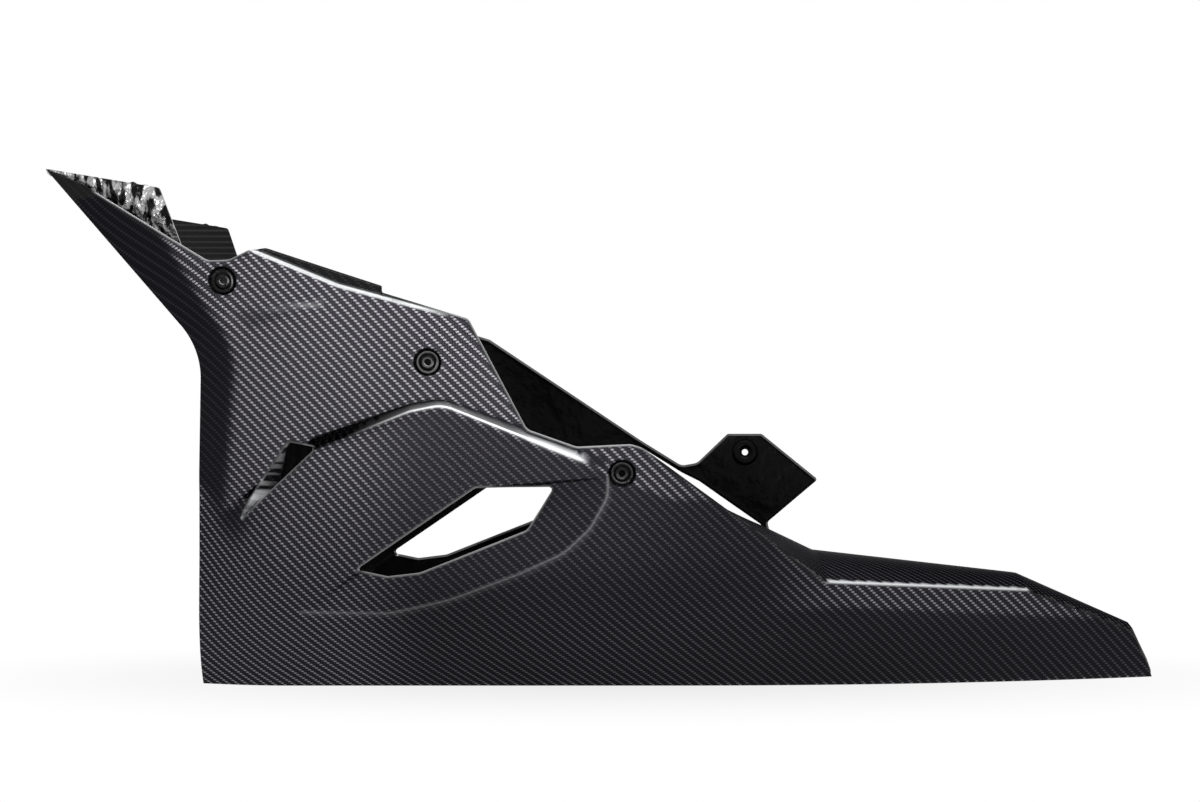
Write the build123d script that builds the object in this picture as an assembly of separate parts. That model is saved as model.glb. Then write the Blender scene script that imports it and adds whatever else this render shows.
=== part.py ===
# Belly pan of a sport motorcycle: one moulded carbon shell, in millimetres.
# +X runs to the rear wheel, +Y to the bike's right-hand side, +Z up, keel on Z = 0.
# Side-view places are (x, z), or (x, z, corner radius) on an outline.
import math
import os

from build123d import *

# Shell and hull
wall = 2.0
keel_half = 64.0            # flat underside, from the middle plane to its edge
shoulder_half = 119.0       # half width where the rounded bilge ends
shoulder_height = 110.0
brow_half_front = 152.0     # half width at brow_height, behind the leading edge
brow_half_rear = 124.0
brow_height = 300.0
brow_front_x = -320.0
brow_rear_x = -100.0
tail_x = 437.0
tail_half = 6.0             # half width of the blunt tail end
keel_taper_x = 30.0         # where the plan view starts to narrow to the tail
shoulder_taper_x = -70.0
taper_power = 2.15

# Rounded nose, which fades out upwards into the creased leading edge
nose_length = 72.0
nose_inset = 36.0
nose_keel_share = 0.4       # part of the inset that reaches the keel
nose_fade_low = 150.0
nose_fade_high = 260.0

# Leading edge, in a plane that leans outwards, and the flange that turns back inside it
edge_foot = (-340.5, 0.0)
edge_knee = (-328.5, 266.0)
edge_knee_radius = 60.0
horn_tip = (-443.5, 402.5)
edge_half_foot = 78.0       # half width of the leaning plane at the keel
edge_lean = 0.13            # outward run for each millimetre up
front_face_slope = 0.8      # outward run for each millimetre to the rear
return_width = 27.0
return_foot_z = 150.0
horn_top_rear = (-357.0, 388.0)
horn_notch_rear = (-332.0, 318.0)

# Upper edge of the side, with its stepped-in flange
horn_edge_front = (-412.0, 389.0)
notch_front = (-317.0, 331.0)
notch_rear = (-301.0, 331.5)
flange_front = (-286.0, 338.5)
flange_peak = (-274.0, 341.0)
flange_step = (-187.0, 313.0)
flange_step_drop = 5.0
brow_corner = (-121.0, 288.0)
bend_front = (-290.0, 341.0)
bend_middle = (-219.0, 311.5)
bend_rear = (-138.0, 290.0)
flange_inset = 5.0

# Flat upper panel, and the sloped ledge under which the lower hull stands proud
panel_foot = (-312.0, 130.0)
panel_brow = (-200.0, 310.0)
panel_brow_half = 136.0
flare_front = (-315.0, 288.0)   # soft line above which the panel flares out to the horn
flare_rear = (-220.0, 300.0)
flare_top = (-355.0, 388.0)
flare_top_half = 162.0
ledge_rise = 11.0
ledge_front_x = -312.0
ledge_rear_x = -14.0
ledge_tip = (-296.0, 136.0)
ledge_corner = (-240.0, 187.0)
ledge_shoulder = (-166.0, 217.0)
ledge_crest = (-141.0, 222.0)
ledge_end = (-28.0, 177.5)
ledge_fade = (-345.0, 95.0)
ledge_crest_radius = 30.0
ledge_slope = 0.75          # drop for each millimetre outwards

# Vent slot at the front end of the ledge
vent_top_front = (-260.0, 194.0)
vent_top_rear = (-240.0, 190.5)
vent_waist = (-283.5, 160.0)
vent_radius = 3.0

# Rear edge of the left side, then the slanted edge down to the tail
rear_waist = (-77.0, 204.0)
ear_front = (-39.0, 190.5)
ear_top = (3.0, 192.5)
slant_top = (12.0, 189.5)
slant_foot = (156.0, 85.0)
edge_radius = 9.0

# Scooped opening: a flat facet that runs in under an overhanging edge
scoop_front = (-252.0, 62.5)
scoop_corner = (-116.0, 159.0)
scoop_rear = (-15.0, 168.0)
facet_low = (-80.0, 93.0)
facet_rear = (-16.0, 150.0)
window_front = (-208.0, 96.0)
window_rear = (-56.5, 159.5)
window_low_rear = (-77.0, 126.5)
window_low = (-159.0, 94.0)
window_low_front = (-184.0, 91.0)
window_radius = 6.0

# Dished screw seats
upper_seats = [(-306.5, 316.0), (-152.5, 255.0)]
ear_seat = (-4.0, 170.0)
tab_seat = (108.5, 186.0)
seat_radius = 10.5
seat_depth = 3.5
screw_radius = 2.75

# Tail box: crowned deck over the rear half, with a flat facet down each side
ridge_rear = (325.0, 75.0)
ridge_tip = (420.0, 39.0)
tail_foot_z = 5.0
crown_top = -16.0
crown_front = 20.0
crown_rear = 11.0
crown_tip = 4.0
crease_front = (176.0, 67.0)
crease_rear = (369.0, 54.0)
facet_inset = 8.0           # how far the facet leans in at the ridge
mouth_front_x = -14.0
mouth_left = (52.0, -94.0)      # mouth places are (x, y) in the plan view
mouth_middle = (104.0, -20.0)
mouth_right = (138.0, 70.0)
mouth_rim = 10.0

# Right-hand side: straight rear edge, arm and tab over the exhaust opening
arm_root = (15.0, 197.0)
arm_waist = (52.0, 174.0)
tab_front = (66.0, 176.5)
tab_top_front = (93.0, 202.5)
tab_top_rear = (123.0, 202.5)
tab_point = (172.0, 162.0)
tab_foot = (128.0, 124.0)
arm_depth = 6.0
arm_inset = 12.0
exhaust_front = (6.0, 150.0)
exhaust_tab = (68.0, 160.0)
exhaust_low = (96.0, 84.0)
exhaust_rear = (132.0, 92.0)

# Working room, larger than the part on every side
reach = 700.0
spare = 10.0                # how far the hollow's tools run past the body
section_low = -30.0
section_high = 430.0
section_points = 12
hull_stations = 16


def smooth(value):
    """Ease from 0 to 1."""
    value = min(max(value, 0.0), 1.0)
    return value * value * (3.0 - 2.0 * value)


def taper(x, start, full):
    """Plan-view half width, from full at start down to the blunt tail end."""
    run = max(0.0, (x - start) / (tail_x - start))
    return full - (full - tail_half) * run ** taper_power


def half_width(x, z):
    """Half width of the hull at one station and height."""
    front_share = smooth((brow_rear_x - x) / (brow_rear_x - brow_front_x))
    brow = brow_half_rear + (brow_half_front - brow_half_rear) * front_share
    lean = (brow - shoulder_half) / (brow_height - shoulder_height)
    keel = taper(x, keel_taper_x, keel_half)
    bilge = taper(x, shoulder_taper_x, shoulder_half) - keel - lean * shoulder_height
    climb = 1.0 - (1.0 - min(z / shoulder_height, 1.0)) ** 2
    nose = min(max((edge_foot[0] + nose_length - x) / nose_length, 0.0), 2.0)
    inset = nose_inset * (1.0 - math.cos(math.pi / 2.0 * nose))
    fade = smooth((nose_fade_high - z) / (nose_fade_high - nose_fade_low))
    fade *= nose_keel_share + (1.0 - nose_keel_share) * smooth(z / shoulder_height)
    along = min(max((x - ledge_front_x) / (ledge_rear_x - ledge_front_x), 0.0), 1.0)
    swell = ledge_rise * math.sin(math.pi * along) ** 2 * smooth(z / shoulder_height)
    return keel + bilge * climb + lean * z + swell - inset * fade


def skin_point(place, depth=0.0):
    """Point of the left-hand hull, moved inwards square to the surface."""
    x, z = place
    step = 0.5
    run_x = (half_width(x + step, z) - half_width(x - step, z)) / (2.0 * step)
    run_z = (half_width(x, z + step) - half_width(x, z - step)) / (2.0 * step)
    inward = Vector(run_x, 1.0, run_z).normalized()
    return Vector(x, -half_width(x, z), z) + inward * depth


def hull_section(x, depth, extra):
    """Closed section of the left half at one station, from the skin to the middle plane."""
    low = section_low - extra
    high = section_high + extra
    heights = [low + (high - low) * row / section_points for row in range(section_points + 1)]
    skin = [skin_point((x, z), depth) for z in heights]
    side = Edge.make_spline([Vector(x, point.Y, point.Z) for point in skin])
    return Wire([
        side,
        Edge.make_line(side @ 1, Vector(x, extra, skin[-1].Z)),
        Edge.make_line(Vector(x, extra, skin[-1].Z), Vector(x, extra, skin[0].Z)),
        Edge.make_line(Vector(x, extra, skin[0].Z), side @ 0)])


def hull(depth, extra):
    """Loft of the left half through its stations, above the floor of that depth."""
    front = horn_tip[0] - spare - extra
    rear = tail_x + wall + extra
    stations = [front + (rear - front) * station / hull_stations for station in range(hull_stations + 1)]
    block = Solid.make_loft([hull_section(x, depth, extra) for x in stations])
    room = Pos(0.0, 0.0, depth) * Box(
        2.0 * reach, 2.0 * reach, reach, align=(Align.CENTER, Align.CENTER, Align.MIN))
    return block & room


def outline(corners, plane=Plane.XZ):
    """Face over corners given as (x, z) or (x, z, radius)."""
    places = [corner[:2] for corner in corners]
    radii = [corner[2] if len(corner) > 2 else 0.0 for corner in corners]
    return plane * make_face(FilletPolyline(*places, radius=radii, close=True))


def side_prism(corners, low=-reach, high=reach):
    """Prism along Y over a side-view outline."""
    return Pos(0.0, low, 0.0) * extrude(outline(corners), amount=high - low, dir=(0.0, 1.0, 0.0))


def beyond(first, second, third, depth=0.0):
    """Everything outboard of the plane through three points of the left side."""
    normal = (second - first).cross(third - first).normalized()
    if normal.Y > 0.0:
        normal = -normal
    origin = (first + second + third) * (1.0 / 3.0) - normal * depth
    return Plane(origin, z_dir=normal) * Box(
        4.0 * reach, 4.0 * reach, reach, align=(Align.CENTER, Align.CENTER, Align.MIN))


def shifted(place, dx=0.0, dz=0.0):
    """Side-view place moved along."""
    return (place[0] + dx, place[1] + dz) + tuple(place[2:])


def rounded(place, radius):
    """Side-view place with a corner radius."""
    return (place[0], place[1], radius)


edge_plane = Plane(
    origin=(0.0, -edge_half_foot, 0.0), x_dir=(1.0, 0.0, 0.0), z_dir=(0.0, -1.0, -edge_lean))


def edge_face(corners):
    """Face in the leaning plane over corners given in the side view."""
    stretch = (1.0 + edge_lean ** 2) ** 0.5
    return outline([(corner[0], corner[1] * stretch) + tuple(corner[2:]) for corner in corners], edge_plane)


def front_room(depth):
    """Room behind the front: swept back outside the leading edge, open or straight inside it."""
    back = depth / front_face_slope * (1.0 + front_face_slope ** 2) ** 0.5
    far_horn = shifted(edge_knee, 2.0 * (horn_tip[0] - edge_knee[0]), 2.0 * (horn_tip[1] - edge_knee[1]))
    far_foot = shifted(edge_foot, edge_foot[0] - edge_knee[0], edge_foot[1] - edge_knee[1])
    corners = [
        far_foot, rounded(edge_knee, edge_knee_radius), far_horn,
        (2.0 * reach, far_horn[1]), (2.0 * reach, far_foot[1])]
    face = edge_face([shifted(corner, back) for corner in corners])
    swept_back = extrude(face, amount=reach, dir=(1.0, -front_face_slope, 0.0), both=depth > 0.0)
    if depth > 0.0:
        inside = edge_plane.offset(-depth / 2.0) * Box(
            4.0 * reach, 4.0 * reach, reach, align=(Align.CENTER, Align.CENTER, Align.MAX))
    else:
        inside = extrude(face, amount=reach, dir=(0.0, 1.0, 0.0))
    return swept_back + inside


def plane_half(place, first, second, third):
    """Half width, at a side-view place, of the plane through three points of the left side."""
    normal = (second - first).cross(third - first)
    run = normal.X * (place[0] - first.X) + normal.Z * (place[1] - first.Z)
    return run / normal.Y - first.Y


panel_points = [
    skin_point(panel_foot), skin_point(ledge_end), Vector(panel_brow[0], -panel_brow_half, panel_brow[1])]
flare_points = [
    Vector(place[0], -plane_half(place, *panel_points), place[1]) for place in (flare_front, flare_rear)]
flare_points.append(Vector(flare_top[0], -flare_top_half, flare_top[1]))


def beyond_panel(depth):
    """Everything outboard of the upper panel and of its flare."""
    return beyond(*panel_points, depth) & beyond(*flare_points, depth)


def panel_y(place):
    """Y of the upper panel on the left side."""
    return -max(plane_half(place, *panel_points), plane_half(place, *flare_points))


def panel_recess(depth):
    """What is cut away above the ledge, down to the upper panel."""
    corners = [
        (-reach, ledge_fade[1]), ledge_fade, ledge_tip, ledge_corner,
        rounded(ledge_shoulder, ledge_crest_radius), rounded(ledge_crest, ledge_crest_radius),
        ledge_end, (ledge_end[0], reach), (-reach, reach)]
    lowered = [shifted(corner, dz=-depth) for corner in corners]
    at_skin = skin_point(ledge_crest).Y
    run = Vector(0.0, -1.0, -ledge_slope)
    region = Pos(0.0, at_skin, 0.0) * extrude(
        outline(lowered), amount=reach / 2.0, dir=run, both=True)
    return region & beyond_panel(depth)


def flange_recess(depth):
    """The same along the top edge, where the flange steps in."""
    corners = [
        (bend_front[0] - depth, reach), shifted(bend_front, -depth, -depth),
        shifted(bend_middle, 0.0, -depth), shifted(bend_rear, depth, -depth),
        (bend_rear[0] + depth, reach)]
    return side_prism(corners) & beyond_panel(depth + flange_inset)


def scoop_recess(depth):
    """Wedge that leaves the facet of the scoop, under its overhanging upper edge."""
    corners = [
        shifted(scoop_front, -depth, depth), shifted(scoop_corner, -depth, depth),
        shifted(scoop_rear, 0.0, depth), (scoop_rear[0] + reach, scoop_rear[1] + depth),
        (scoop_rear[0] + reach, -reach), (scoop_front[0] - depth, -reach)]
    return side_prism(corners) & beyond(
        skin_point(scoop_front), skin_point(facet_low), skin_point(facet_rear), depth)


def tail_recess(depth):
    """Wedge that leaves the upper facet of the tail side, behind the slanted edge."""
    middle = ((crease_front[0] + crease_rear[0]) / 2.0, ridge_rear[1])
    run = (slant_foot[0] - slant_top[0]) / (slant_foot[1] - slant_top[1])
    foot = (slant_foot[0] - run * slant_foot[1] - depth, 0.0)
    top = (slant_top[0] - depth, slant_top[1])
    corners = [foot, top, (reach, top[1]), (reach, foot[1])]
    return side_prism(corners) & beyond(
        skin_point(crease_front), skin_point(crease_rear), skin_point(middle, facet_inset), depth)


def under_deck(depth):
    """Room under the crowned deck, open ahead of the slanted edge."""
    rise = (ridge_tip[1] - ridge_rear[1]) / (ridge_tip[0] - ridge_rear[0])
    ridge_end = (tail_x + spare, ridge_tip[1] + rise * (tail_x + spare - ridge_tip[0]))
    stations = [
        (slant_top, crown_top), (slant_foot, crown_front),
        (ridge_rear, crown_rear), (ridge_end, crown_tip)]
    sections = []
    for (x, z), crown in stations:
        edge = half_width(x, z) + spare
        top = ThreePointArc((-edge, z - depth), (0.0, z + crown - depth), (edge, z - depth))
        frame = Polyline((-edge, z - depth), (-edge, -reach), (edge, -reach), (edge, z - depth))
        station = Plane(origin=(x, 0.0, 0.0), x_dir=(0.0, 1.0, 0.0), z_dir=(1.0, 0.0, 0.0))
        sections.append(station * make_face(top + frame))
    ahead = Pos(slant_top[0], 0.0, 0.0) * Box(
        reach, 2.0 * reach, 2.0 * reach, align=(Align.MAX, Align.CENTER, Align.CENTER))
    return loft(sections, ruled=True) + ahead


def tail_end(depth):
    """Everything ahead of the blunt end of the tail."""
    corners = [
        (-reach, -spare), (tail_x - depth, -spare), (tail_x - depth, tail_foot_z),
        shifted(ridge_tip, -depth), (ridge_tip[0] - depth, reach), (-reach, reach)]
    return side_prism(corners)


def left_body(depth, extra):
    """Left half of the pan as a solid; the hollow is the same one wall further in."""
    body = hull(depth, extra) & front_room(depth) & under_deck(depth) & tail_end(depth)
    for recess in (panel_recess, flange_recess, scoop_recess, tail_recess):
        body -= recess(depth)
    return body


def mirrored(solid):
    """Right-hand twin of a left-hand solid."""
    return mirror(solid, about=Plane.XZ)


def seat_pin(seat, face_y, radius):
    """Pin along Y, from outside the left side in to face_y."""
    pin = Cylinder(radius, reach, align=(Align.CENTER, Align.CENTER, Align.MIN))
    return Pos(seat[0], face_y, seat[1]) * Rot(90.0, 0.0, 0.0) * pin


def with_seat(shell, body, seat, skin_y):
    """Left-hand shell with one dished screw seat; body is the same side as a solid."""
    floor_y = skin_y + seat_depth
    cup = seat_pin(seat, floor_y + wall, seat_radius + wall) & body
    dish = seat_pin(seat, floor_y, seat_radius)
    screw = seat_pin(seat, floor_y + spare, screw_radius)
    return shell + cup - dish - screw


top_edge = [
    horn_edge_front, rounded(notch_front, edge_radius), rounded(notch_rear, edge_radius),
    flange_front, rounded(flange_peak, edge_radius), flange_step,
    shifted(flange_step, dz=-flange_step_drop), brow_corner]
left_rear = [
    rounded(rear_waist, edge_radius), rounded(ear_front, edge_radius), rounded(ear_top, edge_radius)]
over_horn = [(slant_top[0], reach), (-reach, reach), (-reach, horn_tip[1]), horn_tip]

outer = left_body(0.0, 0.0)
half = outer - left_body(wall, spare)

window = [
    rounded(window_front, wall), scoop_corner, window_rear, rounded(window_low_rear, window_radius),
    rounded(window_low, window_radius), rounded(window_low_front, window_radius)]
vent = [ledge_tip, vent_waist, rounded(vent_top_front, vent_radius), vent_top_rear, ledge_corner]
side_room = -edge_half_foot - spare
half -= side_prism(window, -reach, side_room + keel_half)
half -= side_prism(vent, -reach, side_room)
for seat in upper_seats:
    half = with_seat(half, outer, seat, panel_y(seat))

foot_run = (edge_knee[0] - edge_foot[0]) / (edge_knee[1] - edge_foot[1])
return_foot = (edge_foot[0] + foot_run * return_foot_z, return_foot_z)
return_face = edge_face([
    (-reach, return_foot_z), (-reach, horn_tip[1]), horn_tip, horn_top_rear, horn_notch_rear,
    rounded(shifted(edge_knee, return_width), edge_knee_radius),
    shifted(return_foot, return_width, return_width), return_foot])
return_flange = outer & extrude(return_face, amount=-wall)

left = half - side_prism(top_edge + left_rear + [slant_top] + over_horn) + return_flange
left = with_seat(left, outer, ear_seat, skin_point(ear_seat).Y)
right = mirrored(half - side_prism(top_edge + [arm_root] + over_horn) + return_flange)

arm_start = shifted(slant_top, -spare)
rear_fall = (arm_root[1] - brow_corner[1]) / (arm_root[0] - brow_corner[0])
arm_top = (arm_start[0], arm_root[1] + rear_fall * (arm_start[0] - arm_root[0]))
arm = [
    arm_top, rounded(arm_waist, edge_radius), rounded(tab_front, edge_radius), tab_top_front,
    tab_top_rear, tab_point, tab_foot, slant_foot, arm_start]
hull_outer = hull(0.0, 0.0)
arm_wall = hull_outer & side_prism(arm) - hull(wall, spare)
arm_wall = mirrored(with_seat(arm_wall, hull_outer, tab_seat, skin_point(tab_seat).Y))
arm_low = [shifted(arm_root, dz=-arm_depth), shifted(arm_waist, dz=-arm_depth)]
rim_y = half_width(*arm_waist) - arm_inset
arm_rim = mirrored(hull_outer & side_prism([arm_top, arm_waist] + arm_low[::-1], -reach, -rim_y))
exhaust = [
    exhaust_front, arm_low[0], arm_low[1], exhaust_tab, shifted(tab_foot, -arm_depth, -wall),
    exhaust_rear, rounded(exhaust_low, edge_radius)]

mouth = make_face(
    Spline(mouth_left, mouth_middle, mouth_right)
    + Polyline(mouth_right, (mouth_right[0] - mouth_rim, -mouth_left[1]), (mouth_front_x, -mouth_left[1]),
               (mouth_front_x, mouth_left[1]), mouth_left))
mouth_tool = Pos(0.0, 0.0, ridge_rear[1]) * extrude(mouth, amount=reach)

shell = left + right - mouth_tool + arm_wall
shell = shell - side_prism(exhaust, keel_half, reach) + arm_rim
shell = Pos(-shell.bounding_box().center().X, 0.0, 0.0) * shell
os.makedirs("parts", exist_ok=True)
export_step(shell, "parts/belly_pan_shell.step")
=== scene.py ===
"""Looks of the motorcycle belly pan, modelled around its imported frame."""

import math

import bmesh
import bpy
import numpy as np
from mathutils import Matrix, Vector
from mathutils.geometry import delaunay_2d_cdt


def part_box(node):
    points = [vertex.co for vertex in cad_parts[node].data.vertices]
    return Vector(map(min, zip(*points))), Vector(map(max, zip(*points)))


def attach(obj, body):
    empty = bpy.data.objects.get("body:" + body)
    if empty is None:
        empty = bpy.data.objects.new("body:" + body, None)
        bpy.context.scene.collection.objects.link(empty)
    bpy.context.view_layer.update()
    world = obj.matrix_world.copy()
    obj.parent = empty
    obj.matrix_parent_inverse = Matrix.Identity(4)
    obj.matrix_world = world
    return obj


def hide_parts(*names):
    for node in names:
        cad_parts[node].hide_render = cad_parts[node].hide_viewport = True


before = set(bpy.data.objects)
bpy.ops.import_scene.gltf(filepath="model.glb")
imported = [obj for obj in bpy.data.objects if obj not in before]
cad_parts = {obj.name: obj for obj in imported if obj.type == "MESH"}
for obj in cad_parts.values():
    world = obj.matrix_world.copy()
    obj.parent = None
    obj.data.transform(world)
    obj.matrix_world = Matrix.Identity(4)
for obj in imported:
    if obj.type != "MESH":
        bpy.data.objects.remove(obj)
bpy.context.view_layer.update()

# Sizes in millimetres. Places are (x, z) in side view, before the part is centred; a third value is a radius.
# A pair of a start and a run says where a form or a finish fades in, and a lone run starts at its own line. A
# negative run goes forwards, down or inwards.
MM = 0.001
WALL = 2.0
TOW = 1.93
TAIL_X = 437.0
KEEL_REAR = (TAIL_X, 0.0)

# Fineness of the mesh
GRID = 3.2
GRID_GAP = 0.7 * GRID
ROW_GAP = 0.45
FINE = 2.0
ARC_STEP = 1.5
RING_POINTS = 32
SAME_PLACE = 1.0e-5
ON_LINE = 0.01
TINY = 1.0e-9
WELD = 0.04
CREASE_DEGREES = 38.0
ARC_LEVELS = 24
SLOPE_REACH = 1.0

# Leading edge and horns
EDGE_FOOT = (-340.5, 0.0)
EDGE_KNEE = (-328.5, 266.0, 60.0)
HORN_TIP = (-443.5, 402.5)
EDGE_HALF_FOOT = 78.0
EDGE_LEAN = 0.13
FRONT_FACE_SLOPE = 0.56
FRONT_CREASE = 1.5
RETURN_FOOT_Z = 150.0
RETURN_FOOT_WIDTH = 27.0
RETURN_BACK = [(-357.0, 388.0, 3.0), (-332.0, 318.0, 6.0), (-301.5, 266.0, 60.0)]
RETURN_SET_BACK = np.array([2.2, -0.6])
RETURN_INWARD = 0.6

# Hull: half widths, their taper to the tail, the spread of the sides and the rounded nose
KEEL_HALF = 64.0
KEEL_TAPER = 58.0
KEEL_TAPER_X = 30.0
BEAM_HALF = 119.0
BEAM_TAPER = 113.0
BEAM_TAPER_X = -70.0
TAPER_POWER = 2.15
BILGE_TOP = 110.0
SIDE_RISE = 190.0
SIDE_TOP_HALF = 124.0
FRONT_SPREAD = 28.0
FRONT_SPREAD_X = (-100.0, -220.0)
NOSE_LENGTH = 72.0
NOSE_INSET = 36.0
NOSE_TOP = (260.0, -110.0)
NOSE_FOOT_SHARE = 0.4
SWELL = 11.0
SWELL_FRONT_X = -312.0
SWELL_REAR_X = -14.0

# Ledge, its bevel, and the vent cut in its front
LEDGE_PEAK = (-141.0, 222.0)
LEDGE_END = (-28.0, 177.5)
LEDGE_END_SLOPE = 2.0
LEDGE_RISE = 0.75
CREST_ROUND = 2.2
BEVEL_FOOT_ROUND = 1.6
BEVEL_FOOT_EDGE = (-0.2, 1.0)
BEVEL_TOP_EDGE = (0.6, -1.0)
BEVEL_TOP_ROUNDS = 8
VENT_FOOT = (-296.0, 136.0)
VENT_REAR = (-240.0, 187.0)
VENT = [VENT_FOOT, (-283.5, 160.0), (-260.0, 194.0, 3.0), (-240.0, 190.5), VENT_REAR]
VENT_TURN = np.array([14.0, 11.0, 2.0])
VENT_TURN_RUN = 36.0
VENT_TURN_LEAST = 0.05

# Planes of the upper panel and the flare, through (x, z) or (x, half width, z), and the hollow at their fold
PANEL_FRONT = (-312.0, 130.0)
PANEL_TOP = (-200.0, 136.0, 310.0)
FLARE_FRONT = (-315.0, 288.0)
FLARE_REAR = (-220.0, 300.0)
FLARE_HORN = (-355.0, 162.0, 388.0)
FLARE_ROUND = 5.0
FLARE_FOLD = np.array([(-312.0, 291.0), (-289.0, 292.5), (-232.0, 299.0)])
HOLLOW_DROP = (0.0, 15.0, 0.0)
HOLLOW_DEPTH = 1.2
HOLLOW_TOP = (-1.0, 3.0)
HOLLOW_FOOT = -8.0

# Stepped flange along the top edge
TOP_EDGE = [
    (-412.0, 389.0), (-317.0, 331.0, 9.0), (-301.0, 331.5, 9.0), (-286.0, 338.5, 4.0), (-274.0, 341.0, 7.0),
    (-187.0, 313.0, 1.5), (-187.0, 308.0, 1.5), (-121.0, 288.0, 6.0)]
FLANGE_STEP = 4.0
FLANGE_STEP_RUN = 4.0
FLANGE_LEAN = 0.4
FLANGE_HEIGHT = 40.0
FREE_ROLL = 2.6

# Scooped window
WINDOW_PEAK = (-116.0, 159.0)
WINDOW = [
    (-208.0, 96.0, 2.0), (*WINDOW_PEAK, 4.0), (-56.5, 159.5, 2.0), (-77.0, 126.5, 8.0), (-159.0, 94.0, 14.0),
    (-184.0, 91.0, 8.0)]
SCOOP_TIP = (-252.0, 62.5)
SCOOP_END = (-15.0, 168.0)
SCOOP_SLOPE = 0.2
SCOOP_ROUND = 1.5
SCOOP_EDGE = -2.5

# Rear edges, tail and deck; the mouth's corners are (x, y) in plan
SLANT_TOP = (12.0, 189.5)
SLANT_FOOT = (156.0, 85.0)
RIDGE_REAR = (325.0, 75.0)
RIDGE_TIP = (420.0, 39.0)
TAIL_FOOT = (TAIL_X, 5.0)
LEFT_REAR = [(-77.0, 204.0, 9.0), (-39.0, 190.5, 12.0), (3.0, 192.5, 12.0), SLANT_TOP]
RIGHT_REAR = [
    (15.0, 197.0, 6.0), (52.0, 174.0, 9.0), (66.0, 176.5, 9.0), (93.0, 202.5, 3.0), (123.0, 202.5, 3.0),
    (172.0, 162.0, 2.0), (128.0, 124.0, 3.0), (133.0, 101.7)]
EXHAUST = [
    (6.0, 150.0, 3.0), (15.0, 191.0, 2.0), (52.0, 168.0, 4.0), (68.0, 160.0, 4.0), (122.0, 122.0, 2.0),
    (132.0, 92.0, 3.0), (96.0, 84.0, 9.0)]
LEFT_DECK_X = SLANT_TOP[0] + 1.0
RIGHT_DECK_X = 140.0
TAIL_LIP_Z = 2.0
TAIL_CREASE = np.array([(176.0, 67.0), (369.0, 54.0)])
FACET_TOP = (272.5, 75.0)
FACET_DEPTH = 8.0
FACET_ROUND = 2.5
FACET_FRONT = (-2.0, 6.0)
FACET_OVER_DECK = 1.0
MOUTH = [(138.0, 70.0, 30.0), (104.0, -20.0, 60.0), (52.0, -90.0, 40.0), (16.0, -96.0, 6.0)]
MOUTH_STEP = 2.5
CROWN_X = (SLANT_TOP[0], SLANT_FOOT[0], RIDGE_REAR[0], TAIL_X)
CROWN_HEIGHT = (-16.0, 20.0, 11.0, 4.0)

# Dished screw seats, each with a boss round its hole
UPPER_SEATS = [(-306.5, 316.0), (-152.5, 255.0)]
EAR_SEAT = (-4.0, 170.0)
TAB_SEAT = (108.5, 186.0)
SEAT_RADIUS = 10.5
SEAT_LIP = 0.6
SEAT_SLOPE = -2.8
SEAT_DEPTH = 3.5
BOSS_RADIUS = 6.4
BOSS_SLOPE = -1.4
BOSS_HEIGHT = 1.8
SCREW_RADIUS = 2.75
SCREW_SIDES = 24
SEAT_RINGS = (3.6, 4.8, 5.4, 6.0, 6.6, 7.6, 8.4, 9.1, 9.8, 10.4, 11.0, 12.5)

# Rows of mesh points beside edges and creases, as offsets
LIP_ROWS = (-0.3, -0.9, -1.7, -2.7)
LEDGE_ROWS = (-7.0, -5.0, -3.4, -2.0, -0.8, 0.4, 1.4)
BEVEL_TOP_ROWS = (-1.2, -0.5, 0.1, 0.7, 1.4, 2.4, 3.6)
BEND_ROWS = (-1.2, 0.2, 1.4, 2.6, 3.8, 5.0)
SCOOP_TOP_ROWS = (-3.0, -2.2, -1.4, -0.7, 0.0, 0.8)
SCOOP_FOOT_ROWS = (-1.2, 0.0, 1.2, 2.4, 4.0)
TAIL_CREASE_ROWS = (-4.0, -2.0, -0.7, 0.7, 2.0, 4.0)
MOUTH_ROWS = (1.0, 2.2)

# Shares from 0 to 1 set on the mesh: gloss with painted shade, painted highlight, and painted shade
FINISH_AND_PAINTED_LIGHT_TITLES = ("plain", "painted_highlight", "dim")

# Where the weave is plain: hidden under gloss, and darkened as painted shade
PLAIN_FADE = -1.5
PLAIN_SEAT_MARGIN = 1.0
PLAIN_FLANGE = (-1.0, 1.0)
PLAIN_BEVEL_FRONT = (-298.0, 8.0)
PLAIN_BEVEL_REAR = (-115.0, -30.0)

# Painted shade: where the weave is dimmed, and how far
DIM_BELOW = 0.8
DIM_LEDGE_FADE = -6.0
DIM_NOSE = (-230.0, 80.0)
DIM_KEEL_SHARE = 0.75
DIM_KEEL_Z = (30.0, 60.0)
DIM_KEEL_X = (-60.0, 260.0)
DIM_SIDE_REAR = (172.0, -70.0)
DIM_CREASE_FADE = -5.0
DIM_FRONT = 0.92
DIM_FRONT_FACE = (1.8, -1.5)
DIM_BEVEL = 0.9
DIM_BEVEL_FRONT = (-145.0, 30.0)
DIM_BEVEL_REAR_X = LEDGE_END[0] + 12.0
DIM_HOLLOW = 0.5
DIM_DECK = 0.65
DIM_VENT = 0.85
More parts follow.
